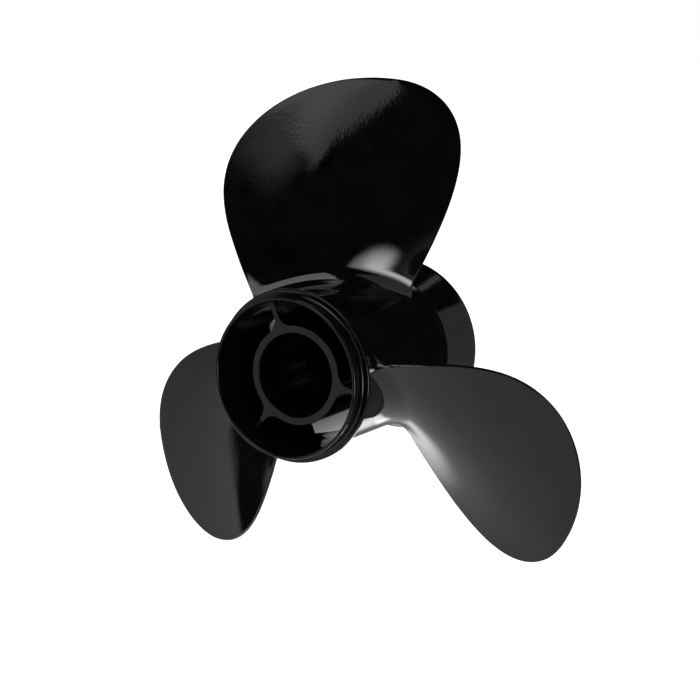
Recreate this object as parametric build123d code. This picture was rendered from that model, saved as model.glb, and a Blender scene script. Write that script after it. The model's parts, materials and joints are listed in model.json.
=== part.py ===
from build123d import *

import math
import os

# Three-blade through-hub-exhaust boat propeller. Millimetres, +Z up.
# The shaft axis is Y: the forward (gearcase) end faces -Y and the flared end faces +Y.
# The origin is on the shaft axis, in the plane where the blades' middle lines meet the hub.
# Angles round the axis run from +X towards +Z, and a blade's leading edge is on its larger angle.

# ---- stations along the shaft ----
RIM_TO_REFERENCE = 67.5     # forward rim of the spigot to the origin
SPIGOT_LENGTH = 9.5         # forward rim to the collar's front face
COLLAR_WIDTH = 3.0
BARREL_LENGTH = 110.0       # collar's rear face to the diffuser ring
DIFFUSER_LENGTH = 23.5
TUBE_SETBACK = 13.5         # forward rim to the inner tube's face
TUBE_REACH = 8.0            # inner tube past the barrel's aft end

# ---- radii and walls ----
BARREL_RADIUS = 48.8
BARREL_WALL = 4.0
SPIGOT_STEP = 1.2           # spigot's outer surface past the barrel's
SPIGOT_WALL = 1.8
COLLAR_HEIGHT = 4.0         # collar past the spigot
COLLAR_EDGE = 0.9           # chamfer on the collar's two corners
DIFFUSER_FLARE = 9.2        # diffuser's rim past the barrel
DIFFUSER_WALL = 3.5
DIFFUSER_LAND = 3.0         # straight land at the diffuser's aft rim
BORE_RADIUS = 26.3          # free forward stretch of the bore
TUBE_WALL = 4.9
SEAT_PINCH = 0.4            # how much tighter the bore is where the bushing is pressed in
RELIEF_DEPTH = 0.7          # run-out groove between the free bore and the seat
RELIEF_MARGIN = 1.0         # groove's forward edge to the drive sleeve

# ---- ribs between the inner tube and the barrel ----
RIB_COUNT = 3
FIRST_RIB_ANGLE = 111.0
RIB_STOP = 43.0             # ribs' aft ends to the barrel's aft end
RIB_THICKNESS = 3.2
RIB_FOOT = 9.0              # radius of the hollow curve from the rib to the tube

# ---- rubber bushing and drive sleeve ----
BUSHING_LENGTH = 36.0
BUSHING_INSET = 2.0         # bushing's aft face to the inner tube's aft face
BUSHING_EDGE = 1.0
SLEEVE_RADIUS = 17.5
SLEEVE_REACH = 3.0          # sleeve past the bushing's forward face
SLEEVE_EDGE = 0.6
SHAFT_RADIUS = 12.8         # plain land that the shaft runs in
SPLINE_COUNT = 15
SPLINE_LENGTH = 30.0
SPLINE_ROOT_STEP = 0.6      # splines' root past the plain land
SPLINE_DEPTH = 1.2
SPLINE_SHARE = 0.5          # part of the pitch that a spline tooth takes
RUNNING_CLEARANCE = 0.05    # sleeve to bushing, on the radius

# ---- blades ----
BLADE_COUNT = 3
FIRST_BLADE_ANGLE = 92.0
TIP_RADIUS = 179.5
PITCH = 437.0
ROOT_RAKE = 0.195           # aft shift per millimetre of radius at the root
TIP_RAKE = 0.11
TIP_SKEW = 9.6              # degrees that the tip trails the root
LEAD_CHORD = (56.0, 42.0, 36.0)    # middle line to leading edge: at the root, growth, curved growth
TRAIL_CHORD = (50.0, 37.5, 0.0)    # middle line to trailing edge
LEAD_ROUNDNESS = 4.4        # exponent of the outline's round-off at the tip
TRAIL_ROUNDNESS = 3.0
ROOT_THICKNESS = 11.0
TIP_THICKNESS = 3.0
EDGE_THICKNESS = 2.0
ROOT_SWELL = 6.0            # extra half thickness where the blade meets the barrel
SWELL_HEIGHT = 16.0         # how far out that swelling reaches
OUTLINE_STEPS = 9           # points down each side of the outline
SLICES = 10
SLICE_SPREAD = 1.4          # exponent that sets the slices closer together near the hub
SLICE_POINTS = 13
SLAB_MARGIN = 4.0           # unrounded blade past the tip
SLOPE_STEP = 0.01           # run that a surface slope is measured over

# ---- stations and radii worked out from the sizes above ----
RIM_Y = -RIM_TO_REFERENCE
COLLAR_Y = RIM_Y + SPIGOT_LENGTH
BARREL_Y = COLLAR_Y + COLLAR_WIDTH
DIFFUSER_Y = BARREL_Y + BARREL_LENGTH
END_Y = DIFFUSER_Y + DIFFUSER_LENGTH
TUBE_Y = RIM_Y + TUBE_SETBACK
TUBE_END_Y = DIFFUSER_Y + TUBE_REACH
RIB_END_Y = DIFFUSER_Y - RIB_STOP
BUSHING_END_Y = TUBE_END_Y - BUSHING_INSET
BUSHING_Y = BUSHING_END_Y - BUSHING_LENGTH
SLEEVE_Y = BUSHING_Y - SLEEVE_REACH
RELIEF_Y = SLEEVE_Y - RELIEF_MARGIN
SPLINE_Y = TUBE_END_Y - SPLINE_LENGTH
BARREL_BORE = BARREL_RADIUS - BARREL_WALL
SPIGOT_RADIUS = BARREL_RADIUS + SPIGOT_STEP
SPIGOT_BORE = SPIGOT_RADIUS - SPIGOT_WALL
COLLAR_RADIUS = SPIGOT_RADIUS + COLLAR_HEIGHT
DIFFUSER_RADIUS = BARREL_RADIUS + DIFFUSER_FLARE
TUBE_RADIUS = BORE_RADIUS + TUBE_WALL
SEAT_RADIUS = BORE_RADIUS - SEAT_PINCH
RELIEF_RADIUS = BORE_RADIUS + RELIEF_DEPTH
SPLINE_ROOT = SHAFT_RADIUS + SPLINE_ROOT_STEP
ROOT_RADIUS = (TUBE_RADIUS + BARREL_RADIUS) / 2    # where the blade's solid starts, inside the hub
SLAB_LEAD = LEAD_CHORD[0] + LEAD_CHORD[1]
SLAB_TRAIL = TRAIL_CHORD[0] + TRAIL_CHORD[1] / 2


def turned(*corners):
    """Solid of revolution about the shaft axis, from its (radius, station) corners."""
    outline = make_face(Polyline(*corners, close=True))
    return revolve(outline, axis=Axis.Y, revolution_arc=360)


def tube(outer, inner, start, end):
    """Plain tube round the shaft axis between two stations."""
    return turned((inner, start), (outer, start), (outer, end), (inner, end))


def at_angle(shape, angle, drawn_at=90.0):
    """Turn a shape about the shaft axis from the angle that it is drawn at to another."""
    return shape.rotate(Axis.Y, drawn_at - angle)


def front_spigot_ring():
    """Lip that enters the gearcase, and the collar that closes the gap behind it."""
    return turned(
        (SPIGOT_BORE, RIM_Y),
        (SPIGOT_RADIUS, RIM_Y),
        (SPIGOT_RADIUS, COLLAR_Y),
        (COLLAR_RADIUS - COLLAR_EDGE, COLLAR_Y),
        (COLLAR_RADIUS, COLLAR_Y + COLLAR_EDGE),
        (COLLAR_RADIUS, BARREL_Y - COLLAR_EDGE),
        (COLLAR_RADIUS - COLLAR_EDGE, BARREL_Y),
        (BARREL_BORE, BARREL_Y),
    )


def hub_barrel():
    """Straight outer tube that carries the blades."""
    return tube(BARREL_RADIUS, BARREL_BORE, BARREL_Y, DIFFUSER_Y)


def diffuser_ring():
    """Flared ring at the aft end."""
    land_y = END_Y - DIFFUSER_LAND
    return turned(
        (BARREL_BORE, DIFFUSER_Y),
        (BARREL_RADIUS, DIFFUSER_Y),
        (DIFFUSER_RADIUS, land_y),
        (DIFFUSER_RADIUS, END_Y),
        (DIFFUSER_RADIUS - DIFFUSER_WALL, END_Y),
        (DIFFUSER_RADIUS - DIFFUSER_WALL, land_y),
    )


def inner_tube():
    """Tube round the shaft bore: free stretch, run-out groove, then the bushing's tighter seat."""
    return turned(
        (BORE_RADIUS, TUBE_Y),
        (TUBE_RADIUS, TUBE_Y),
        (TUBE_RADIUS, TUBE_END_Y),
        (SEAT_RADIUS, TUBE_END_Y),
        (SEAT_RADIUS, BUSHING_Y),
        (RELIEF_RADIUS, BUSHING_Y),
        (RELIEF_RADIUS, RELIEF_Y),
        (BORE_RADIUS, RELIEF_Y),
    )


def passage():
    """Ring of space that the exhaust flows through, between the inner tube and the outer wall."""
    return turned(
        (TUBE_RADIUS, RIM_Y),
        (SPIGOT_BORE, RIM_Y),
        (BARREL_BORE, BARREL_Y),
        (BARREL_BORE, DIFFUSER_Y),
        (TUBE_RADIUS, DIFFUSER_Y),
    )


def rib():
    """Web from the inner tube to the barrel, with a hollow curve at each side of its foot."""
    front = Plane(origin=(0, TUBE_Y, 0), x_dir=(1, 0, 0), z_dir=(0, -1, 0))
    web_height = SPIGOT_RADIUS
    web = Pos(0, web_height / 2) * Rectangle(RIB_THICKNESS, web_height)
    outline = Circle(TUBE_RADIUS) + web
    corners = [v for v in outline.vertices() if 0 < v.Y < web_height - RIB_THICKNESS]
    outline = fillet(corners, RIB_FOOT) - Circle(TUBE_RADIUS)
    return extrude(front * outline, amount=TUBE_Y - RIB_END_Y) & passage()


def rubber_bushing():
    """Torsion bushing between the bore's seat and the drive sleeve."""
    inner = SLEEVE_RADIUS + RUNNING_CLEARANCE
    return turned(
        (inner, BUSHING_Y),
        (SEAT_RADIUS - BUSHING_EDGE, BUSHING_Y),
        (SEAT_RADIUS, BUSHING_Y + BUSHING_EDGE),
        (SEAT_RADIUS, BUSHING_END_Y),
        (inner, BUSHING_END_Y),
    )


def drive_sleeve():
    """Splined sleeve that the propeller shaft drives, with a plain land at its forward end."""
    body = turned(
        (SHAFT_RADIUS, SLEEVE_Y),
        (SLEEVE_RADIUS - SLEEVE_EDGE, SLEEVE_Y),
        (SLEEVE_RADIUS, SLEEVE_Y + SLEEVE_EDGE),
        (SLEEVE_RADIUS, TUBE_END_Y - SLEEVE_EDGE),
        (SLEEVE_RADIUS - SLEEVE_EDGE, TUBE_END_Y),
        (SPLINE_ROOT, TUBE_END_Y),
        (SPLINE_ROOT, SPLINE_Y),
        (SHAFT_RADIUS, SPLINE_Y),
    )
    width = 2 * math.pi * SPLINE_ROOT / SPLINE_COUNT * SPLINE_SHARE
    overlap = (SLEEVE_RADIUS - SPLINE_ROOT) / 2
    middle = SPLINE_ROOT + (overlap - SPLINE_DEPTH) / 2
    tooth = Pos(0, (SPLINE_Y + TUBE_END_Y) / 2, middle) * Box(
        width, SPLINE_LENGTH, SPLINE_DEPTH + overlap
    )
    teeth = [at_angle(tooth, 90 + 360 * i / SPLINE_COUNT) for i in range(SPLINE_COUNT)]
    return body.fuse(*teeth)


def share_out(radius):
    """How far out a radius lies, from 0 at the barrel to 1 at the tip."""
    return min(max((radius - BARREL_RADIUS) / (TIP_RADIUS - BARREL_RADIUS), 0.0), 1.0)


def skew(radius):
    """Angle of the blade's middle line at a radius, in radians; it trails the root."""
    return -math.radians(TIP_SKEW) * share_out(radius) ** 2


def chord_angle(radius, chord):
    """Angle that one side of the chord would take at a radius if the tip weren't rounded."""
    out = share_out(radius)
    length = chord[0] + chord[1] * out + chord[2] * out**2
    return length * math.cos(math.atan2(PITCH, 2 * math.pi * radius)) / radius


def outline_point(radius, chord, roundness, side):
    """Point of the blade's outline seen along the shaft, with the tip pointing up."""
    rounding = math.sqrt(1 - share_out(radius) ** roundness)
    angle = skew(radius) - skew(TIP_RADIUS) + side * chord_angle(radius, chord) * rounding
    return (-radius * math.sin(angle), radius * math.cos(angle))


def blade_outline():
    """Prism along the shaft that holds the blade's outline, closed off inside the hub."""
    radii = []
    for i in range(OUTLINE_STEPS):
        left = 1 - i / OUTLINE_STEPS
        radii.append(TIP_RADIUS - (TIP_RADIUS - ROOT_RADIUS) * left**2)
    lead = [outline_point(r, LEAD_CHORD, LEAD_ROUNDNESS, 1) for r in radii]
    trail = [outline_point(r, TRAIL_CHORD, TRAIL_ROUNDNESS, -1) for r in reversed(radii)]
    edge = Spline(*lead, (0, TIP_RADIUS), *trail)
    closing = Line(trail[-1], lead[0])
    return extrude(Plane.XZ * make_face([edge, closing]), amount=PITCH / 2, both=True)


def middle_surface(x, height):
    """Station of the blade's middle surface, with the tip pointing up."""
    radius = math.hypot(x, height)
    angle = math.atan2(-x, height) + skew(TIP_RADIUS)
    reach = radius - BARREL_RADIUS
    steepening = (TIP_RAKE - ROOT_RAKE) * reach**2 / (2 * (TIP_RADIUS - BARREL_RADIUS))
    return ROOT_RAKE * reach + steepening - PITCH / (2 * math.pi) * angle


def half_thickness(x, height):
    """Half the blade's thickness, square to its surface."""
    radius = math.hypot(x, height)
    across = math.atan2(-x, height) + skew(TIP_RADIUS) - skew(radius)
    chord = LEAD_CHORD if across > 0 else TRAIL_CHORD
    off_middle = min(abs(across) / chord_angle(radius, chord), 1.0)
    full = ROOT_THICKNESS + (TIP_THICKNESS - ROOT_THICKNESS) * share_out(radius)
    near_root = min(max(1 - (radius - BARREL_RADIUS) / SWELL_HEIGHT, 0.0), 1.0)
    body = (full - EDGE_THICKNESS) / 2 + ROOT_SWELL * near_root**2
    return EDGE_THICKNESS / 2 + body * math.cos(math.pi / 2 * off_middle) ** 2


def blade_slice(height):
    """Outline of the unrounded blade in the slice at a height along its tip line."""
    front = []
    back = []
    for i in range(SLICE_POINTS):
        x = -SLAB_LEAD + (SLAB_LEAD + SLAB_TRAIL) * i / (SLICE_POINTS - 1)
        middle = middle_surface(x, height)
        slope_x = (middle_surface(x + SLOPE_STEP, height) - middle) / SLOPE_STEP
        slope_z = (middle_surface(x, height + SLOPE_STEP) - middle) / SLOPE_STEP
        offset = half_thickness(x, height) * math.hypot(1, slope_x, slope_z)
        front.append((x, middle - offset, height))
        back.append((x, middle + offset, height))
    edges = [
        Spline(*front),
        Line(front[-1], back[-1]),
        Spline(*back),
        Line(back[0], front[0]),
    ]
    return Wire([line.edge() for line in edges])


def hub_core():
    """Everything inside the hub's outer surface, which the blades stop at."""
    return turned(
        (0, RIM_Y),
        (SPIGOT_RADIUS, RIM_Y),
        (SPIGOT_RADIUS, COLLAR_Y),
        (COLLAR_RADIUS, COLLAR_Y),
        (COLLAR_RADIUS, BARREL_Y),
        (BARREL_RADIUS, BARREL_Y),
        (BARREL_RADIUS, DIFFUSER_Y),
        (DIFFUSER_RADIUS, END_Y - DIFFUSER_LAND),
        (DIFFUSER_RADIUS, END_Y),
        (0, END_Y),
    )


def blade():
    """Blade with its tip pointing up, cut off at the hub's outer surface."""
    top = TIP_RADIUS + SLAB_MARGIN
    slices = []
    for i in range(SLICES + 1):
        height = ROOT_RADIUS + (top - ROOT_RADIUS) * (i / SLICES) ** SLICE_SPREAD
        slices.append(blade_slice(height))
    slab = Solid.make_loft(slices)
    return (slab & blade_outline()) - hub_core()


def main():
    """Write each piece to its own file."""
    pieces = {
        "front_spigot_ring": front_spigot_ring(),
        "hub_barrel": hub_barrel(),
        "diffuser_ring": diffuser_ring(),
        "inner_tube": inner_tube(),
        "rubber_bushing": rubber_bushing(),
        "drive_sleeve": drive_sleeve(),
    }
    web = rib()
    for i in range(RIB_COUNT):
        pieces[f"rib_{i + 1}"] = at_angle(web, FIRST_RIB_ANGLE + 360 * i / RIB_COUNT)
    one_blade = blade()
    for i in range(BLADE_COUNT):
        tip_angle = FIRST_BLADE_ANGLE - TIP_SKEW + 360 * i / BLADE_COUNT
        pieces[f"blade_{i + 1}"] = at_angle(one_blade, tip_angle)
    os.makedirs("parts", exist_ok=True)
    for name, shape in pieces.items():
        export_step(shape, f"parts/{name}.step")


main()
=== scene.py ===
"""Looks of a three-blade, through-hub-exhaust boat propeller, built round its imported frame.

Metres. The shaft axis is Y, the forward end faces -Y and +Z is up.
Angles round the axis run from +X towards +Z.
"""

import json
import logging
import math
from dataclasses import dataclass
from enum import Enum
from typing import Callable

import bmesh
import bpy
import numpy as np
from mathutils import Matrix, Vector, noise


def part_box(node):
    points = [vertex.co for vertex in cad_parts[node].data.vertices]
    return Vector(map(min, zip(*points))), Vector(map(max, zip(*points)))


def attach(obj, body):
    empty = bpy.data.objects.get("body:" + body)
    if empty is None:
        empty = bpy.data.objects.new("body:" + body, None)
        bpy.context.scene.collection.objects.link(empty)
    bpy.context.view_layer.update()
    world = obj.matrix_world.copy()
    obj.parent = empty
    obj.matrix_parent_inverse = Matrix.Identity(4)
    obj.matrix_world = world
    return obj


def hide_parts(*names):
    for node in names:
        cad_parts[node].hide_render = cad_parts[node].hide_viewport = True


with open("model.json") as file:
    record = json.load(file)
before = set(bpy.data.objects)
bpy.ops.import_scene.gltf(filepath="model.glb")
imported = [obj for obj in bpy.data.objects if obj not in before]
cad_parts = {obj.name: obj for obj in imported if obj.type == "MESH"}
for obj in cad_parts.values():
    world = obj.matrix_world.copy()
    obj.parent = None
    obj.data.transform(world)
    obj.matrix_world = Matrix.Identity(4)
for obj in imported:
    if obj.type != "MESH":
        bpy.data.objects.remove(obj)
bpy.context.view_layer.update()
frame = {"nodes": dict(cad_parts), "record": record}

log = logging.getLogger("propeller")
MM = 0.001
Point = tuple[float, float]


class Body(Enum):
    """Bodies that the pieces ride on."""

    PROPELLER = "propeller"
    SLEEVE = "sleeve"


class Slot(Enum):
    """Material slots of the record."""

    PAINT = "black_paint"
    RUBBER = "bushing_rubber"
    METAL = "sleeve_metal"


# ---------------------------------------------------------------- finishes


class NodeBench:
    """Short ways to add and join shader nodes in one material or world."""

    def __init__(self, tree: bpy.types.NodeTree) -> None:
        """Args:
            tree: the node tree that the nodes go in.
        """
        self.tree = tree

    def add(self, kind: str, **inputs: object) -> bpy.types.Node:
        """Add a node and set its sockets.

        Args:
            kind: the node's type name.
            inputs: socket names, with underscores for spaces, and a value or an output socket for each.

        Returns:
            The new node.
        """
        node = self.tree.nodes.new(kind)
        for name, value in inputs.items():
            socket = node.inputs[name.replace("_", " ")]
            if isinstance(value, bpy.types.NodeSocket):
                self.tree.links.new(value, socket)
            else:
                socket.default_value = value
        return node

    def math(self, operation: str, *values: object) -> bpy.types.NodeSocket:
        """Add a Math node.

        Args:
            operation: the node's operation.
            values: numbers or output sockets, in the order of its inputs.

        Returns:
            Its output socket.
        """
        node = self.tree.nodes.new("ShaderNodeMath")
        node.operation = operation
        for i, value in enumerate(values):
            if isinstance(value, bpy.types.NodeSocket):
                self.tree.links.new(value, node.inputs[i])
            else:
                node.inputs[i].default_value = value
        return node.outputs[0]

    def remap(self, value: bpy.types.NodeSocket, low: float, high: float, to_low: float,
              to_high: float) -> bpy.types.NodeSocket:
        """Map a value smoothly from one range to another, without going past its ends.

        Args:
            value: the socket to map.
            low: where the range starts.
            high: where it ends.
            to_low: result at low.
            to_high: result at high.

        Returns:
            The mapped output socket.
        """
        node = self.tree.nodes.new("ShaderNodeMapRange")
        node.interpolation_type = "SMOOTHSTEP"
        self.tree.links.new(value, node.inputs["Value"])
        for name, number in (("From Min", low), ("From Max", high), ("To Min", to_low), ("To Max", to_high)):
            node.inputs[name].default_value = number
        return node.outputs["Result"]

    def noise(self, grain: float, detail: float = 2.0) -> bpy.types.NodeSocket:
        """Noise on the piece's own place.

        Args:
            grain: rough size of one bump, in metres.
            detail: how many finer layers it has.

        Returns:
            The noise's value socket.
        """
        place = self.tree.nodes.new("ShaderNodeTexCoord").outputs["Object"]
        node = self.add("ShaderNodeTexNoise", Vector=place, Scale=1 / grain, Detail=detail)
        return node.outputs[0]


def new_material(name: str) -> tuple[bpy.types.Material, NodeBench, bpy.types.Node]:
    """Start a material with one Principled shader.

    Args:
        name: the material's name.

    Returns:
        The material, a bench on its nodes, and its shader node.
    """
    material = bpy.data.materials.new(name)
    material.use_nodes = True
    bench = NodeBench(material.node_tree)
    shader = material.node_tree.nodes["Principled BSDF"]
    return material, bench, shader


@dataclass(frozen=True)
class GlossPaint:
    """Gloss black enamel over a cast and hand-ground surface."""

    name: str = "gloss_black_paint"
    dark: float = 0.0012
    light: float = 0.0032
    gloss: float = 0.03
    haze: float = 0.06
    index: float = 1.40
    grain: float = 1.9 * MM
    fine_grain: float = 0.7 * MM
    patch: float = 45 * MM
    depth: float = 0.045 * MM

    def build(self) -> bpy.types.Material:
        """Returns the paint: near black, with casting grain that is stronger in patches."""
        material, bench, shader = new_material(self.name)
        patches = bench.noise(self.patch, detail=1.0)
        tone = bench.remap(bench.noise(self.grain * 8), 0.3, 0.7, self.dark, self.light)
        colour = bench.add("ShaderNodeCombineColor", Red=tone, Green=tone, Blue=tone)
        rough = bench.remap(patches, 0.35, 0.75, self.gloss, self.haze)
        coarse = bench.noise(self.grain)
        fine = bench.noise(self.fine_grain)
        height = bench.math("MULTIPLY_ADD", fine, 0.25, coarse)
        share = bench.remap(patches, 0.3, 0.7, 0.35, 1.0)
        bump = bench.add("ShaderNodeBump", Height=bench.math("MULTIPLY", height, share), Distance=self.depth)
        links = material.node_tree.links
        links.new(colour.outputs[0], shader.inputs["Base Color"])
        links.new(rough, shader.inputs["Roughness"])
        links.new(bump.outputs[0], shader.inputs["Normal"])
        shader.inputs["IOR"].default_value = self.index
        return material


@dataclass(frozen=True)
class MouldedRubber:
    """Satin black rubber with fine mould grain."""

    name: str = "moulded_rubber"
    dark: float = 0.012
    light: float = 0.03
    grain: float = 0.8 * MM
    depth: float = 0.03 * MM

    def build(self) -> bpy.types.Material:
        """Returns the rubber, with a mottled tone and a dusty roughness."""
        material, bench, shader = new_material(self.name)
        tone = bench.remap(bench.noise(self.grain * 12), 0.3, 0.7, self.dark, self.light)
        colour = bench.add("ShaderNodeCombineColor", Red=tone, Green=tone, Blue=tone)
        rough = bench.remap(bench.noise(self.grain * 6), 0.3, 0.7, 0.5, 0.72)
        bump = bench.add("ShaderNodeBump", Height=bench.noise(self.grain), Distance=self.depth)
        links = material.node_tree.links
        links.new(colour.outputs[0], shader.inputs["Base Color"])
        links.new(rough, shader.inputs["Roughness"])
        links.new(bump.outputs[0], shader.inputs["Normal"])
        return material


@dataclass(frozen=True)
class BlackenedSteel:
    """Turned steel with a black oxide finish, bright where the shaft has rubbed it."""

    name: str = "blackened_steel"
    dark: tuple[float, float, float] = (0.035, 0.035, 0.038)
    worn: tuple[float, float, float] = (0.13, 0.13, 0.135)
    feed: float = 0.35 * MM
    depth: float = 0.004 * MM

    def build(self) -> bpy.types.Material:
        """Returns the steel, with tool rings and patchy wear."""
        material, bench, shader = new_material(self.name)
        links = material.node_tree.links
        place = material.node_tree.nodes.new("ShaderNodeTexCoord").outputs["Object"]
        rings = bench.add("ShaderNodeTexWave", Vector=place, Scale=1 / (math.pi * self.feed), Distortion=0.6)
        rings.bands_direction = "Y"
        tone = bench.add("ShaderNodeValToRGB", Fac=bench.noise(5 * MM))
        low, high = tone.color_ramp.elements
        low.position, low.color = 0.45, (*self.dark, 1)
        high.position, high.color = 0.75, (*self.worn, 1)
        links.new(tone.outputs["Color"], shader.inputs["Base Color"])
        links.new(bench.remap(bench.noise(3 * MM), 0.3, 0.7, 0.3, 0.5), shader.inputs["Roughness"])
        bump = bench.add("ShaderNodeBump", Height=rings.outputs["Fac"], Distance=self.depth)
        links.new(bump.outputs[0], shader.inputs["Normal"])
        shader.inputs["Metallic"].default_value = 1.0
        return material


@dataclass(frozen=True)
class StudioPaper:
    """Lit white paper of the studio floor."""

    name: str = "studio_paper"
    low: float = 0.90
    high: float = 0.93
    grain: float = 4 * MM
    lit: float = 0.75

    def build(self) -> bpy.types.Material:
        """Returns the paper, lit from below, with a faint mottle."""
        material, bench, shader = new_material(self.name)
        tone = bench.remap(bench.noise(self.grain), 0.3, 0.7, self.low, self.high)
        colour = bench.add("ShaderNodeCombineColor", Red=tone, Green=tone, Blue=tone)
        material.node_tree.links.new(colour.outputs[0], shader.inputs["Base Color"])
        shader.inputs["Roughness"].default_value = 0.9
        shader.inputs["Specular IOR Level"].default_value = 0.1
        shader.inputs["Emission Color"].default_value = (1, 1, 1, 1)
        shader.inputs["Emission Strength"].default_value = self.lit
        return material


# ---------------------------------------------------------------- shaping helpers


def cad_radii(node: str) -> Point:
    """Least and greatest distance of a frame node's surface from the shaft axis.

    Args:
        node: the node's name.

    Returns:
        Its inner and outer radius.
    """
    reach = [math.hypot(v.co.x, v.co.z) for v in frame["nodes"][node].data.vertices]
    return min(reach), max(reach)


def record_mount(name: str) -> dict:
    """Returns the record's mount of this name."""
    return next(mount for mount in frame["record"]["mounts"] if mount["name"] == name)


def round_corners(corners: list[tuple[float, float, float]], steps: int = 5) -> list[Point]:
    """Round the corners of a closed profile, and hold each flat with a point close to its ends.

    Args:
        corners: radius, station and rounding of each corner, in order round the profile.
        steps: spans in each rounding.

    Returns:
        Radius and station of each point of the rounded profile.
    """
    hold = 0.12 * MM
    points = []
    count = len(corners)
    for i, (radius, station, rounding) in enumerate(corners):
        here = Vector((radius, station))
        before = Vector(corners[i - 1][:2])
        after = Vector(corners[(i + 1) % count][:2])
        to_before = (before - here).normalized()
        to_after = (after - here).normalized()
        if rounding <= 0:
            points.append(tuple(here))
            continue
        half = to_before.angle(to_after) / 2
        back = rounding / math.tan(half)
        centre = here + (to_before + to_after).normalized() * (rounding / math.sin(half))
        start = here + to_before * back
        end = here + to_after * back
        points.append(tuple(start + to_before * hold))
        turn = (start - centre).angle_signed(end - centre)
        for step in range(steps + 1):
            arm = start - centre
            arm.rotate(Matrix.Rotation(-turn * step / steps, 2))
            points.append(tuple(centre + arm))
        points.append(tuple(end + to_after * hold))
    return points


class RingModel:
    """Piece modelled from one ring of points, extruded ring by ring."""

    def __init__(self, name: str, count: int) -> None:
        """Add the first ring, round the shaft axis, and open it for editing.

        Args:
            name: the piece's name.
            count: points in each ring.
        """
        bpy.ops.object.select_all(action="DESELECT")
        bpy.ops.mesh.primitive_circle_add(vertices=count, radius=1.0, rotation=(math.pi / 2, 0, 0))
        self.obj = bpy.context.object
        self.obj.name = name
        self.obj.data.name = name
        bpy.ops.object.transform_apply()
        bpy.ops.object.mode_set(mode="EDIT")
        self.mesh = bmesh.from_edit_mesh(self.obj.data)
        self.order = self.mesh.verts.layers.int.new("order")
        self.mesh.verts.ensure_lookup_table()
        for i, vertex in enumerate(self.mesh.verts):
            vertex[self.order] = i
        bmesh.update_edit_mesh(self.obj.data)

    def place(self, law: Callable[[int], Vector]) -> None:
        """Put the selected ring in its place.

        Args:
            law: gives a point's place from its number in the ring.
        """
        self.mesh = bmesh.from_edit_mesh(self.obj.data)
        self.order = self.mesh.verts.layers.int["order"]
        for vertex in self.mesh.verts:
            if vertex.select:
                vertex.co = law(vertex[self.order])
        bmesh.update_edit_mesh(self.obj.data)

    def grow(self, law: Callable[[int], Vector]) -> None:
        """Extrude the last ring and put the new one in its place.

        Args:
            law: gives a point's place from its number in the ring.
        """
        bpy.ops.mesh.extrude_edges_move()
        self.place(law)

    def close(self, angle: float = math.radians(40)) -> bpy.types.Object:
        """Join the last ring to the first where they meet, face everything outwards and shade it.

        Args:
            angle: edges sharper than this stay crisp.

        Returns:
            The finished object.
        """
        bpy.ops.mesh.select_all(action="SELECT")
        bpy.ops.mesh.remove_doubles(threshold=0.002 * MM)
        bpy.ops.mesh.normals_make_consistent(inside=False)
        bpy.ops.object.mode_set(mode="OBJECT")
        bpy.ops.object.shade_smooth_by_angle(angle=angle)
        return self.obj


def turn_piece(name: str, profile: list[Point], count: int = 256) -> bpy.types.Object:
    """Model a piece of revolution about the shaft axis.

    Args:
        name: the piece's name.
        profile: radius and station of each point round its closed profile.
        count: points round the axis.

    Returns:
        The finished object.
    """
    model = RingModel(name, count)
    radius, station = profile[0]
    bpy.ops.transform.resize(value=(radius, 1, radius))
    bpy.ops.transform.translate(value=(0, station, 0))
    for next_radius, next_station in [*profile[1:], profile[0]]:
        bpy.ops.mesh.extrude_edges_move(TRANSFORM_OT_translate={"value": (0, next_station - station, 0)})
        ratio = next_radius / radius
        bpy.ops.transform.resize(value=(ratio, 1, ratio), center_override=(0, 0, 0))
        radius, station = next_radius, next_station
    return model.close()


def ripple(obj: bpy.types.Object, height: float, length: float, held: Callable[[Vector], float]) -> None:
    """Give a surface the slow waves that casting and grinding leave.

    Args:
        obj: the piece.
        height: greatest height of a wave.
        length: rough length of a wave.
        held: share of the wave that a place takes.
    """
    places = []
    for vertex in obj.data.vertices:
        place = vertex.co
        wave = noise.noise(place / length) + 0.35 * noise.noise(place / length * 2.3)
        places.append(place + vertex.normal * (wave * height * held(place)))
    obj.data.vertices.foreach_set("co", np.ravel(places))
    obj.data.update()


def smooth_share(value: float, start: float, end: float) -> float:
    """Rise smoothly from 0 at start to 1 at end."""
    share = min(max((value - start) / (end - start), 0.0), 1.0)
    return share * share * (3 - 2 * share)


def dress(obj: bpy.types.Object, material: bpy.types.Material, slot: Slot, body: Body, *nodes: str) -> None:
    """Give a piece its finish, put it on its body and let it stand for its frame nodes.

    Args:
        obj: the piece.
        material: its finish.
        slot: the record's material slot; not used.
        body: the body that it rides on.
        nodes: the frame nodes that it stands for.
    """
    obj.data.materials.clear()
    obj.data.materials.append(material)
    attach(obj, body.value)
    if nodes:
        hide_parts(*nodes)


# ---------------------------------------------------------------- hub


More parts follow.
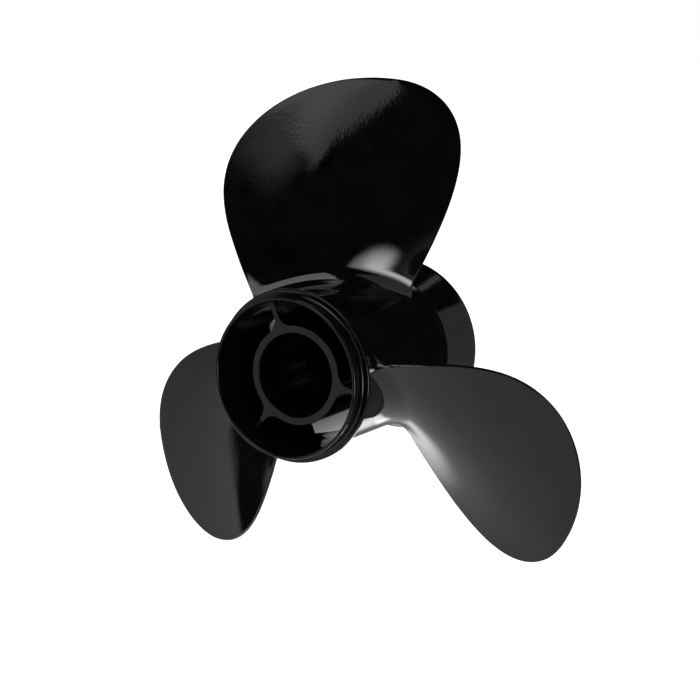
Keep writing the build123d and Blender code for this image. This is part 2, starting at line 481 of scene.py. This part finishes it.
@dataclass(frozen=True)
class Hub:
    """Outer shell of the hub: spigot and collar, barrel and flared ring."""

    paint: bpy.types.Material
    lip_wall: float = 1.8 * MM
    lip_rounding: float = 0.75 * MM
    collar_rounding: float = 0.7 * MM
    root_fillet: float = 1.3 * MM
    spigot_swell: float = 0.45 * MM
    draft: float = 0.075
    flare_fillet: float = 2.2 * MM
    flare_knee: float = 0.8 * MM
    flare_wall: float = 3.5 * MM
    rim_land: float = 2.6 * MM
    land_fillet: float = 6 * MM
    inner_fillet: float = 4 * MM
    rim_rounding: float = 1.3 * MM
    ring_gap: float = 2.5 * MM

    def sizes(self) -> dict[str, float]:
        """Returns the stations and radii of the shell, read from the frame."""
        ring_low, ring_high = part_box("front_spigot_ring")
        barrel_low, barrel_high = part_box("hub_barrel")
        flare_low, flare_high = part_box("diffuser_ring")
        bore, barrel = cad_radii("hub_barrel")
        return {
            "rim": ring_low.y,
            "collar": record_mount("collar_face")["pos_m"][1],
            "barrel": barrel_low.y,
            "flare": barrel_high.y,
            "end": flare_high.y,
            "spigot_r": record_mount("front_spigot")["dims"]["r_mm"] * MM,
            "collar_r": cad_radii("front_spigot_ring")[1],
            "barrel_r": barrel,
            "bore_r": bore,
            "flare_r": cad_radii("diffuser_ring")[1],
        }

    def mouth_radius(self, station: float) -> float:
        """Radius of the drafted mouth inside the shell at a station."""
        s = self.sizes()
        return max(s["spigot_r"] - self.lip_wall - self.draft * (station - s["rim"]), s["bore_r"])

    def front_ring(self) -> bpy.types.Object:
        """Returns the spigot with its collar."""
        s = self.sizes()
        skirt = s["barrel"] + self.root_fillet
        corners = [
            (s["spigot_r"] - self.lip_wall, s["rim"], self.lip_rounding),
            (s["spigot_r"], s["rim"], self.lip_rounding),
            (s["spigot_r"] + self.spigot_swell, s["collar"], self.root_fillet),
            (s["collar_r"], s["collar"], self.collar_rounding),
            (s["collar_r"], s["barrel"], self.collar_rounding),
            (s["barrel_r"], s["barrel"], self.root_fillet),
            (s["barrel_r"], skirt, 0),
            (self.mouth_radius(skirt), skirt, 0),
        ]
        return turn_piece("front_spigot_ring_skin", round_corners(corners))

    def barrel(self) -> bpy.types.Object:
        """Returns the straight outer tube."""
        s = self.sizes()
        start = s["barrel"] + self.root_fillet
        end = s["flare"]
        count = round((end - start) / self.ring_gap)
        outside = [(s["barrel_r"], start + (end - start) * i / count) for i in range(count + 1)]
        inside = [(self.mouth_radius(y), y) for _, y in reversed(outside)]
        return turn_piece("hub_barrel_skin", outside + inside)

    def flare(self) -> bpy.types.Object:
        """Returns the flared ring, whose foot is a tight hollow."""
        s = self.sizes()
        knee = s["flare"] + self.flare_knee
        land = s["end"] - self.rim_land
        inner_r = s["flare_r"] - self.flare_wall
        corners = [
            (s["bore_r"], s["flare"], 0),
            (s["barrel_r"], s["flare"], 0),
            (s["barrel_r"], knee, self.flare_fillet),
            (s["flare_r"], land, self.land_fillet),
            (s["flare_r"], s["end"], self.rim_rounding),
            (inner_r, s["end"], self.rim_rounding),
            (inner_r, land, self.inner_fillet),
        ]
        return turn_piece("diffuser_ring_skin", round_corners(corners))

    def build(self) -> None:
        """Build and dress the three rings of the shell."""
        for obj, node in (
            (self.front_ring(), "front_spigot_ring"),
            (self.barrel(), "hub_barrel"),
            (self.flare(), "diffuser_ring"),
        ):
            dress(obj, self.paint, Slot.PAINT, Body.PROPELLER, node)
            log.info("%s: %d faces", obj.name, len(obj.data.polygons))


@dataclass(frozen=True)
class TubeAndRibs:
    """Inner tube round the bore, cast in one with the three ribs that hold it."""

    paint: bpy.types.Material
    first_rib: float = math.radians(111)
    ribs: int = 3
    half_web: float = 1.6 * MM
    foot: float = 9.0 * MM
    web_steps: int = 3
    skin: float = 1.2 * MM
    edge: float = 0.8 * MM
    edge_steps: int = 4
    end_edge: float = 1.0 * MM
    seat_edge: float = 0.6 * MM
    groove: float = 0.7 * MM
    flatness: float = 0.01 * MM
    sharp: float = math.radians(60)
    shares: tuple[float, ...] = (0.02, 0.25, 0.5, 0.75, 1.0)
    arc_steps: int = 9
    tube_steps: int = 40

    def outline(self, tube_r: float, wall_r: float) -> list[Point]:
        """Outline of the tube with its ribs, seen along the shaft.

        Args:
            tube_r: outer radius of the tube.
            wall_r: radius of the barrel's wall, which the ribs run into.

        Returns:
            X and Z of each point, once round.
        """
        foot_x = self.half_web + self.foot
        foot_z = math.sqrt((tube_r + self.foot) ** 2 - foot_x**2)
        side = []
        foot_turn = math.atan2(foot_z, foot_x)
        for i in range(self.arc_steps + 1):
            a = foot_turn * (1 - i / self.arc_steps)
            side.append((foot_x - self.foot * math.cos(a), foot_z - self.foot * math.sin(a)))
        web_start = side[-1][1]
        for i in range(1, self.web_steps + 1):
            side.append((self.half_web, web_start + (wall_r - web_start) * i / self.web_steps))
        foot_angle = math.atan2(side[0][0], side[0][1])
        pitch = 2 * math.pi / self.ribs
        points = []
        for rib in range(self.ribs):
            turn = self.first_rib - math.pi / 2 + rib * pitch
            local = [*side, *[(-x, z) for x, z in reversed(side)]]
            span = pitch - 2 * foot_angle
            for i in range(1, self.tube_steps):
                a = foot_angle + span * i / self.tube_steps
                local.append((-tube_r * math.sin(a), tube_r * math.cos(a)))
            cosine, sine = math.cos(turn), math.sin(turn)
            points.extend((x * cosine - z * sine, x * sine + z * cosine) for x, z in local)
        return points

    def build(self) -> None:
        """Build the tube and ribs ring by ring, and round the edges of their front."""
        low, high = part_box("inner_tube")
        rib_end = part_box("rib_1")[1].y
        wall_r = cad_radii("hub_barrel")[1] - self.skin
        seat_r, tube_r = cad_radii("inner_tube")
        bore = record_mount("hub_bore")["dims"]
        bore_r = bore["r_mm"] * MM
        bore_end = low.y + bore["length_mm"] * MM
        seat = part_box("rubber_bushing")[0].y
        groove_r = bore_r + self.groove
        web = self.outline(tube_r, wall_r)
        angles = [math.atan2(z, x) for x, z in web]

        def flat(station: float) -> Callable[[int], Vector]:
            """The whole outline at a station."""
            return lambda i: Vector((web[i][0], station, web[i][1]))

        def ring(radius: float, station: float) -> Callable[[int], Vector]:
            """A circle at a station, with its points at the outline's angles."""
            return lambda i: Vector((radius * math.cos(angles[i]), station, radius * math.sin(angles[i])))

        model = RingModel("inner_tube_and_ribs", len(web))
        model.place(flat(low.y))
        depth = rib_end - low.y
        for share in self.shares:
            model.grow(flat(low.y + depth * share))
        for radius, station in (
            (tube_r, rib_end),
            (tube_r, high.y - self.end_edge),
            (tube_r - self.end_edge, high.y),
            (seat_r + self.seat_edge, high.y),
            (seat_r, high.y - self.seat_edge),
            (seat_r, seat),
            (groove_r, seat),
            (groove_r, bore_end),
            (bore_r, bore_end),
            (bore_r, low.y + self.edge),
            (bore_r, low.y),
        ):
            model.grow(ring(radius, station))
        model.grow(flat(low.y))
        obj = model.close()
        self.round_front(obj, low.y)
        rib_nodes = [f"rib_{i + 1}" for i in range(self.ribs)]
        dress(obj, self.paint, Slot.PAINT, Body.PROPELLER, "inner_tube", *rib_nodes)
        log.info("%s: %d faces", obj.name, len(obj.data.polygons))

    def round_front(self, obj: bpy.types.Object, station: float) -> None:
        """Round the edges of the flat front.

        Args:
            obj: the piece.
            station: where the flat front lies.
        """
        bpy.ops.object.mode_set(mode="EDIT")
        bpy.ops.mesh.select_all(action="DESELECT")
        mesh = bmesh.from_edit_mesh(obj.data)
        for edge in mesh.edges:
            ends = [v.co for v in edge.verts]
            if any(abs(p.y - station) > self.flatness for p in ends) or len(edge.link_faces) != 2:
                continue
            edge.select = edge.link_faces[0].normal.angle(edge.link_faces[1].normal) > self.sharp
        bmesh.update_edit_mesh(obj.data)
        bpy.ops.mesh.bevel(offset=self.edge, segments=self.edge_steps, affect="EDGES", clamp_overlap=True)
        bpy.ops.object.mode_set(mode="OBJECT")
        bpy.ops.object.shade_smooth_by_angle(angle=math.radians(40))


# ---------------------------------------------------------------- blades


@dataclass(frozen=True)
class BladeLaw:
    """How a blade runs: angles count from the middle line of its root, towards the leading edge."""

    hub_r: float
    tip_r: float
    pitch: float = 437 * MM
    root_rake: float = 0.195
    tip_rake: float = 0.11
    tip_skew: float = math.radians(9.6)
    lead_chord: tuple[float, float, float] = (56 * MM, 42 * MM, 36 * MM)
    trail_chord: tuple[float, float, float] = (50 * MM, 37.5 * MM, 0.0)
    lead_roundness: float = 4.4
    trail_roundness: float = 3.0
    root_thickness: float = 11 * MM
    tip_thickness: float = 3.0 * MM
    edge_thickness: float = 2.0 * MM

    def out(self, radius: float) -> float:
        """How far out a radius lies, from 0 at the barrel to 1 at the tip."""
        return min(max((radius - self.hub_r) / (self.tip_r - self.hub_r), 0.0), 1.0)

    def radius(self, out: float) -> float:
        """Radius at a share of the way out."""
        return self.hub_r + (self.tip_r - self.hub_r) * out

    def middle(self, radius: float) -> float:
        """Angle of the blade's middle line at a radius."""
        return -self.tip_skew * self.out(radius) ** 2

    def half_chord(self, radius: float, lead: bool) -> float:
        """Angle from the middle line to one edge.

        Args:
            radius: distance from the shaft axis.
            lead: the leading edge, or else the trailing one.

        Returns:
            The angle, always positive.
        """
        out = self.out(radius)
        chord = self.lead_chord if lead else self.trail_chord
        roundness = self.lead_roundness if lead else self.trail_roundness
        length = chord[0] + chord[1] * out + chord[2] * out**2
        lean = math.cos(math.atan2(self.pitch, 2 * math.pi * radius))
        return length * lean / radius * math.sqrt(1 - out**roundness)

    def station(self, radius: float, angle: float) -> float:
        """Place of the middle surface along the shaft."""
        reach = radius - self.hub_r
        bend = (self.tip_rake - self.root_rake) * reach**2 / (2 * (self.tip_r - self.hub_r))
        return self.root_rake * reach + bend - self.pitch / (2 * math.pi) * angle

    def thickness(self, radius: float, angle: float) -> float:
        """Thickness, full at the middle line and thin at the edges."""
        across = angle - self.middle(radius)
        half = self.half_chord(radius, across > 0)
        off = min(abs(across) / half, 1.0) if half > 0 else 1.0
        full = self.root_thickness + (self.tip_thickness - self.root_thickness) * self.out(radius)
        return self.edge_thickness + (full - self.edge_thickness) * math.cos(math.pi / 2 * off) ** 2


@dataclass(frozen=True)
class BladeSet:
    """Three blades, each with a hollow fillet round its root."""

    paint: bpy.types.Material
    count: int = 3
    first_angle: float = math.radians(92)
    root_height: float = 11 * MM
    lead_fillet: float = 13 * MM
    trail_fillet: float = 8 * MM
    face_fillet: float = 15 * MM
    corner_out: float = 0.80
    tip_inset: float = 0.4 * MM
    across: int = 72
    along: int = 84
    fillet_steps: int = 14
    feather: float = 0.8 * MM
    sink: float = 0.9 * MM
    wave_height: float = 0.07 * MM
    wave_length: float = 26 * MM
    wave_rise: float = 25 * MM
    root_band: float = 2.5 * MM
    edge_turn: float = math.radians(55)
    edge_share: float = 0.46
    edge_steps: int = 5
    outline_steps: int = 300
    root_steps: int = 200
    pull: float = 0.56

    def law(self) -> BladeLaw:
        """Returns the blade's law at the frame's sizes."""
        return BladeLaw(hub_r=cad_radii("hub_barrel")[1], tip_r=cad_radii("blade_1")[1] - self.tip_inset)

    def outline_side(self, law: BladeLaw, lead: bool) -> np.ndarray:
        """One side of the outline from the root to the tip, as seen along the shaft.

        Args:
            law: the blade's law.
            lead: the leading side, or else the trailing one.

        Returns:
            One row for each point: sideways and outwards.
        """
        root_out = self.root_height / (law.tip_r - law.hub_r)
        rows = []
        for i in range(self.outline_steps + 1):
            out = 1 - (1 - root_out) * (1 - i / self.outline_steps) ** 2
            radius = law.radius(out)
            angle = law.middle(radius) + (1 if lead else -1) * law.half_chord(radius, lead)
            rows.append((radius * math.sin(angle), radius * math.cos(angle)))
        return np.array(rows)

    def boundaries(self, law: BladeLaw) -> tuple[Callable, Callable, Callable, Callable]:
        """Four curves that bound the blade's sheet.

        Args:
            law: the blade's law.

        Returns:
            Root and tip curves from the trailing to the leading side, then the trailing and leading ones from
            the root outwards, each a function of 0 to 1.
        """
        corner = law.radius(self.corner_out)
        halves = []
        for lead in (False, True):
            rows = self.outline_side(law, lead)
            cut = int(np.argmin(np.abs(np.hypot(rows[:, 0], rows[:, 1]) - corner)))
            halves.append((rows[: cut + 1], rows[cut:]))
        (trail, trail_top), (lead_side, lead_top) = halves
        top = np.concatenate([trail_top, lead_top[::-1][1:]])
        root_r = law.hub_r + self.root_height
        start = math.atan2(*trail[0])
        end = math.atan2(*lead_side[0])
        turns = np.linspace(start, end, self.root_steps)
        root = np.stack([root_r * np.sin(turns), root_r * np.cos(turns)], 1)
        return tuple(self.even(rows) for rows in (root, top, trail, lead_side))

    @staticmethod
    def even(rows: np.ndarray) -> Callable[[float], np.ndarray]:
        """Make a curve that runs evenly along its length.

        Args:
            rows: points of the curve.

        Returns:
            The place at a share of its length.
        """
        gaps = np.hypot(*np.diff(rows, axis=0).T)
        along = np.concatenate([[0], np.cumsum(gaps)]) / gaps.sum()
        return lambda t: np.array([np.interp(t, along, rows[:, 0]), np.interp(t, along, rows[:, 1])])

    def sheet_place(self, edges: tuple[Callable, ...], u: float, v: float) -> np.ndarray:
        """Place in the blade's sheet, blended from its four edges.

        Args:
            edges: root, tip, trailing and leading curves.
            u: share across, from the trailing to the leading side.
            v: share along, from the root to the tip.

        Returns:
            Sideways and outwards place.
        """
        root, top, trail, lead = edges
        ruled = (1 - v) * root(u) + v * top(u) + (1 - u) * trail(v) + u * lead(v)
        corners = (1 - u) * (1 - v) * root(0) + u * (1 - v) * root(1) + (1 - u) * v * top(0) + u * v * top(1)
        return ruled - corners

    def sheet(self, law: BladeLaw) -> bpy.types.Object:
        """Model the blade's middle sheet from a grid, and note its thickness in a vertex group.

        Args:
            law: the blade's law.

        Returns:
            The sheet.
        """
        bpy.ops.object.select_all(action="DESELECT")
        bpy.ops.mesh.primitive_grid_add(x_subdivisions=self.across, y_subdivisions=self.along, size=1.0)
        obj = bpy.context.object
        obj.name = "blade_1_skin"
        group = obj.vertex_groups.new(name="thickness")
        edges = self.boundaries(law)
        for vertex in obj.data.vertices:
            sideways, outwards = self.sheet_place(edges, vertex.co.x + 0.5, vertex.co.y + 0.5)
            radius = math.hypot(sideways, outwards)
            angle = math.atan2(sideways, outwards)
            group.add([vertex.index], law.thickness(radius, angle) / law.root_thickness, "REPLACE")
            place = self.first_angle + angle
            vertex.co = (radius * math.cos(place), law.station(radius, angle), radius * math.sin(place))
        return obj

    def thicken(self, obj: bpy.types.Object, law: BladeLaw) -> None:
        """Give the sheet its thickness, open its root and round its edge.

        Args:
            obj: the sheet.
            law: the blade's law.
        """
        solid = obj.modifiers.new("thickness", "SOLIDIFY")
        solid.thickness = law.root_thickness
        solid.offset = 0.0
        solid.vertex_group = "thickness"
        solid.use_quality_normals = True
        bpy.ops.object.modifier_apply(modifier=solid.name)
        bpy.ops.object.mode_set(mode="EDIT")
        bpy.ops.mesh.select_all(action="DESELECT")
        bpy.ops.mesh.select_mode(type="FACE")
        mesh = bmesh.from_edit_mesh(obj.data)
        root_r = law.hub_r + self.root_height
        for face in mesh.faces:
            low_down = all(abs(math.hypot(v.co.x, v.co.z) - root_r) < self.root_band for v in face.verts)
            face.select = low_down and abs(face.normal.dot(self.outwards(face.calc_center_median()))) > 0.7
        bmesh.update_edit_mesh(obj.data)
        bpy.ops.mesh.delete(type="ONLY_FACE")
        bpy.ops.mesh.select_mode(type="EDGE")
        bpy.ops.mesh.select_all(action="DESELECT")
        mesh = bmesh.from_edit_mesh(obj.data)
        for edge in mesh.edges:
            faces = edge.link_faces
            edge.select = len(faces) == 2 and faces[0].normal.angle(faces[1].normal, 0.0) > self.edge_turn
        bmesh.update_edit_mesh(obj.data)
        offset = law.edge_thickness * self.edge_share
        bpy.ops.mesh.bevel(offset=offset, segments=self.edge_steps, affect="EDGES", clamp_overlap=True)
        bpy.ops.mesh.select_all(action="DESELECT")

    @staticmethod
    def outwards(place: Vector) -> Vector:
        """Returns the direction away from the shaft axis at a place."""
        return Vector((place.x, 0, place.z)).normalized()

    def fillet(self, obj: bpy.types.Object, law: BladeLaw) -> None:
        """Run a hollow fillet from the open root down to the barrel, and close it under the surface.

        Args:
            obj: the blade, open at its root, in edit mode.
            law: the blade's law.
        """
        mesh = bmesh.from_edit_mesh(obj.data)
        mesh.normal_update()
        order = mesh.verts.layers.int.new("order")
        rim = [v for v in mesh.verts if any(e.is_boundary for e in v.link_edges)]
        starts = {}
        for i, vertex in enumerate(rim):
            vertex[order] = i
            starts[i] = self.fillet_curve(vertex.co.copy(), vertex.normal.copy(), law)
        for edge in mesh.edges:
            edge.select = edge.is_boundary
        bmesh.update_edit_mesh(obj.data)
        for step in range(1, self.fillet_steps + 3):
            bpy.ops.mesh.extrude_edges_move()
            mesh = bmesh.from_edit_mesh(obj.data)
            order = mesh.verts.layers.int["order"]
            for vertex in mesh.verts:
                if vertex.select:
                    vertex.co = starts[vertex[order]](step)
            bmesh.update_edit_mesh(obj.data)
        bpy.ops.mesh.fill()
        bpy.ops.mesh.select_all(action="SELECT")
        bpy.ops.mesh.normals_make_consistent(inside=False)
        bpy.ops.object.mode_set(mode="OBJECT")

    def fillet_curve(self, start: Vector, normal: Vector, law: BladeLaw) -> Callable[[int], Vector]:
        """Curve of the fillet below one point of the root.

        Args:
            start: the point, on the blade.
            normal: the blade's outward normal there.
            law: the blade's law.

        Returns:
            The place at each step: down the curve, then along the barrel, then under its surface.
        """
        up = self.outwards(start)
        down = (up.dot(normal) * normal - up).normalized()
        flat = Vector((start.x, start.z))
        way = Vector((down.x, down.z))
        a, b, c = way.dot(way), flat.dot(way), flat.dot(flat) - law.hub_r**2
        foot = start + down * ((-b - math.sqrt(max(b * b - a * c, 0.0))) / a)
        turn = math.atan2(start.z, start.x) - self.first_angle
        across = math.remainder(turn, 2 * math.pi)
        half = law.half_chord(law.hub_r + self.root_height, across > 0)
        off = min(abs(across) / half, 1.0)
        edge = self.lead_fillet if across > 0 else self.trail_fillet
        width = edge + (self.face_fillet - edge) * math.cos(math.pi / 2 * off) ** 0.8
        out_at_foot = self.outwards(foot)
        side = (normal - normal.dot(out_at_foot) * out_at_foot).normalized()

        def on_barrel(distance: float, radius: float) -> Vector:
            """Place on the barrel, this far from the foot."""
            around = Vector((-out_at_foot.z, 0, out_at_foot.x))
            angle = distance * side.dot(around) / law.hub_r
            direction = out_at_foot * math.cos(angle) + around * math.sin(angle)
            return direction * radius + Vector((0, foot.y + distance * side.y, 0))

        end = on_barrel(width, law.hub_r)
        toward = (end - on_barrel(width - 0.1 * MM, law.hub_r)).normalized()
        first = start + (foot - start) * self.pull
        second = end - toward * (width * self.pull)

        def place(step: int) -> Vector:
            """Place at a step of the fillet."""
            if step > self.fillet_steps + 1:
                return on_barrel(width + self.feather, law.hub_r - self.sink)
            if step > self.fillet_steps:
                return on_barrel(width + self.feather, law.hub_r)
            t = step / self.fillet_steps
            s = 1 - t
            return s**3 * start + 3 * s**2 * t * first + 3 * s * t**2 * second + t**3 * end

        return place

    def turned_copy(self, first: bpy.types.Object, plain: bpy.types.Mesh, number: int) -> bpy.types.Object:
        """Copy the first blade and turn it to its place round the shaft.

        Args:
            first: the first blade.
            plain: its mesh, without waves.
            number: places round from the first blade.

        Returns:
            The copy.
        """
        obj = first.copy()
        obj.data = plain.copy()
        obj.name = f"blade_{number + 1}_skin"
        obj.data.transform(Matrix.Rotation(-2 * math.pi * number / self.count, 4, "Y"))
        bpy.context.collection.objects.link(obj)
        return obj

    def build(self) -> None:
        """Model one blade, then copy, turn and wave it into the three."""
        law = self.law()
        first = self.sheet(law)
        self.thicken(first, law)
        self.fillet(first, law)
        for group in list(first.vertex_groups):
            first.vertex_groups.remove(group)
        start = law.hub_r + self.root_height
        plain = first.data.copy()
        for i in range(self.count):
            obj = first if i == 0 else self.turned_copy(first, plain, i)
            ripple(obj, self.wave_height, self.wave_length,
                   lambda p: smooth_share(math.hypot(p.x, p.z), start, start + self.wave_rise))
            bpy.ops.object.select_all(action="DESELECT")
            obj.select_set(True)
            bpy.context.view_layer.objects.active = obj
            bpy.ops.object.shade_smooth_by_angle(angle=math.radians(40))
            dress(obj, self.paint, Slot.PAINT, Body.PROPELLER, f"blade_{i + 1}")
            log.info("%s: %d faces", obj.name, len(obj.data.polygons))


# ---------------------------------------------------------------- drive parts in the bore


@dataclass(frozen=True)
class DriveParts:
    """Rubber bushing and drive sleeve, whose frame shapes stay and get their finish."""

    rubber: bpy.types.Material
    steel: bpy.types.Material

    def build(self) -> None:
        """Dress the bushing and the sleeve."""
        for node, material in (("rubber_bushing", self.rubber), ("drive_sleeve", self.steel)):
            obj = frame["nodes"][node]
            obj.data.materials.clear()
            obj.data.materials.append(material)
            log.info("%s: finished in %s", node, material.name)


# ---------------------------------------------------------------- studio


@dataclass(frozen=True)
class Glow:
    """Softbox or lit panel, as seen from the object. Angles are in degrees, from +X towards +Y."""

    azimuth: float
    elevation: float
    half_width: float
    half_height: float
    soft: float
    strength: float

    def mask(self, bench: NodeBench, way: bpy.types.NodeSocket) -> bpy.types.NodeSocket:
        """Build the panel's light.

        Args:
            bench: bench on the world's nodes.
            way: the direction that is looked at.

        Returns:
            Its light in each direction.
        """
        turn, lift = math.radians(self.azimuth), math.radians(self.elevation)
        ahead = (math.cos(lift) * math.cos(turn), math.cos(lift) * math.sin(turn), math.sin(lift))
        side = (-math.sin(turn), math.cos(turn), 0.0)
        above = (-math.sin(lift) * math.cos(turn), -math.sin(lift) * math.sin(turn), math.cos(lift))
        reach = []
        for axis in (ahead, side, above):
            node = bench.tree.nodes.new("ShaderNodeVectorMath")
            node.operation = "DOT_PRODUCT"
            bench.tree.links.new(way, node.inputs[0])
            node.inputs[1].default_value = axis
            reach.append(node.outputs["Value"])
        across = bench.math("ABSOLUTE", bench.math("ARCTAN2", reach[1], reach[0]))
        along = bench.math("ABSOLUTE", bench.math("ARCSINE", reach[2]))
        width, height, soft = (math.radians(a) for a in (self.half_width, self.half_height, self.soft))
        wide = bench.remap(across, width - soft, width + soft, 1.0, 0.0)
        high = bench.remap(along, height - soft, height + soft, 1.0, 0.0)
        return bench.math("MULTIPLY", bench.math("MULTIPLY", wide, high), self.strength)


@dataclass(frozen=True)
class Studio:
    """Floor, soft light from all round, and camera."""

    floor_drop: float = 0.45
    floor_size: float = 60.0
    ambient: float = 0.010
    table: float = 0.80
    table_start: float = -22
    table_full: float = -38
    glows: tuple[Glow, ...] = (
        Glow(azimuth=-60, elevation=73, half_width=24, half_height=18, soft=1.5, strength=3.0),
        Glow(azimuth=-79, elevation=11, half_width=7.5, half_height=12, soft=1.2, strength=1.2),
        Glow(azimuth=-82, elevation=22, half_width=5, half_height=8, soft=4, strength=0.8),
        Glow(azimuth=-7, elevation=-7, half_width=12, half_height=15, soft=4, strength=4.0),
        Glow(azimuth=-5, elevation=-12, half_width=9, half_height=9, soft=7, strength=9.0),
        Glow(azimuth=28, elevation=5, half_width=22, half_height=34, soft=2, strength=0.6),
        Glow(azimuth=50, elevation=67, half_width=3, half_height=3, soft=1.5, strength=1.0),
        Glow(azimuth=98, elevation=-36, half_width=8, half_height=6, soft=3, strength=3.0),
        Glow(azimuth=146, elevation=-26, half_width=16, half_height=12, soft=7, strength=1.5),
        Glow(azimuth=112, elevation=25, half_width=14, half_height=12, soft=3, strength=1.1),
        Glow(azimuth=112, elevation=-14, half_width=12, half_height=12, soft=6, strength=0.25),
        Glow(azimuth=-157, elevation=5, half_width=21, half_height=38, soft=1.5, strength=0.65),
        Glow(azimuth=-123, elevation=-11, half_width=9, half_height=9, soft=4, strength=0.65),
    )
    azimuth: float = math.radians(32.5)
    elevation: float = math.radians(11.3)
    distance: float = 1073 * MM
    aim_right: float = 40.65 * MM
    aim_up: float = 17.35 * MM
    lens: float = 91.03

    def floor(self) -> None:
        """Lay the lit floor well below the propeller. The gloss shows the panels, not the floor."""
        bpy.ops.object.select_all(action="DESELECT")
        bpy.ops.mesh.primitive_grid_add(x_subdivisions=12, y_subdivisions=12, size=self.floor_size,
                                        location=(0, 0, -self.floor_drop))
        obj = bpy.context.object
        obj.name = "studio_floor"
        bpy.ops.object.transform_apply()
        obj.data.materials.append(StudioPaper().build())
        obj.visible_glossy = False

    def light(self) -> None:
        """Light the studio with panels in a dark room, in front of a white backdrop."""
        world = bpy.data.worlds.new("studio")
        world.use_nodes = True
        bpy.context.scene.world = world
        bench = NodeBench(world.node_tree)
        back = world.node_tree.nodes["Background"]
        way = world.node_tree.nodes.new("ShaderNodeTexCoord").outputs["Generated"]
        split = bench.add("ShaderNodeSeparateXYZ", Vector=way)
        full, start = (math.sin(math.radians(a)) for a in (self.table_full, self.table_start))
        total = bench.remap(split.outputs["Z"], full, start, self.table, self.ambient)
        for glow in self.glows:
            total = bench.math("ADD", total, glow.mask(bench, way))
        seen = world.node_tree.nodes.new("ShaderNodeLightPath").outputs["Is Camera Ray"]
        total = bench.math("MAXIMUM", total, seen)
        world.node_tree.links.new(total, back.inputs["Color"])

    def camera(self) -> None:
        """Set the camera, aimed past the hub so that the whole propeller is in the frame."""
        rim = Vector((0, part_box("front_spigot_ring")[0].y, 0))
        back = Vector((math.sin(self.azimuth) * math.cos(self.elevation),
                       -math.cos(self.azimuth) * math.cos(self.elevation), math.sin(self.elevation)))
        right = Vector((math.cos(self.azimuth), math.sin(self.azimuth), 0))
        up = back.cross(right)
        place = rim + back * self.distance
        aim = rim + right * self.aim_right + up * self.aim_up
        data = bpy.data.cameras.new("camera")
        data.lens = self.lens
        data.sensor_width = 36.0
        data.clip_end = 200.0
        camera = bpy.data.objects.new("camera", data)
        bpy.context.scene.collection.objects.link(camera)
        camera.location = place
        camera.rotation_euler = (aim - place).to_track_quat("-Z", "Y").to_euler()
        bpy.context.scene.camera = camera

    def build(self) -> None:
        """Set up the studio."""
        self.floor()
        self.light()
        self.camera()
        view = bpy.context.scene.view_settings
        view.view_transform = "Standard"
        view.look = "None"


def main() -> None:
    """Build the propeller's looks, then the studio round it."""
    logging.basicConfig(level=logging.INFO, format="%(message)s")
    paint = GlossPaint().build()
    Hub(paint).build()
    TubeAndRibs(paint).build()
    BladeSet(paint).build()
    DriveParts(MouldedRubber().build(), BlackenedSteel().build()).build()
    Studio().build()


if __name__ == "__main__":
    main()
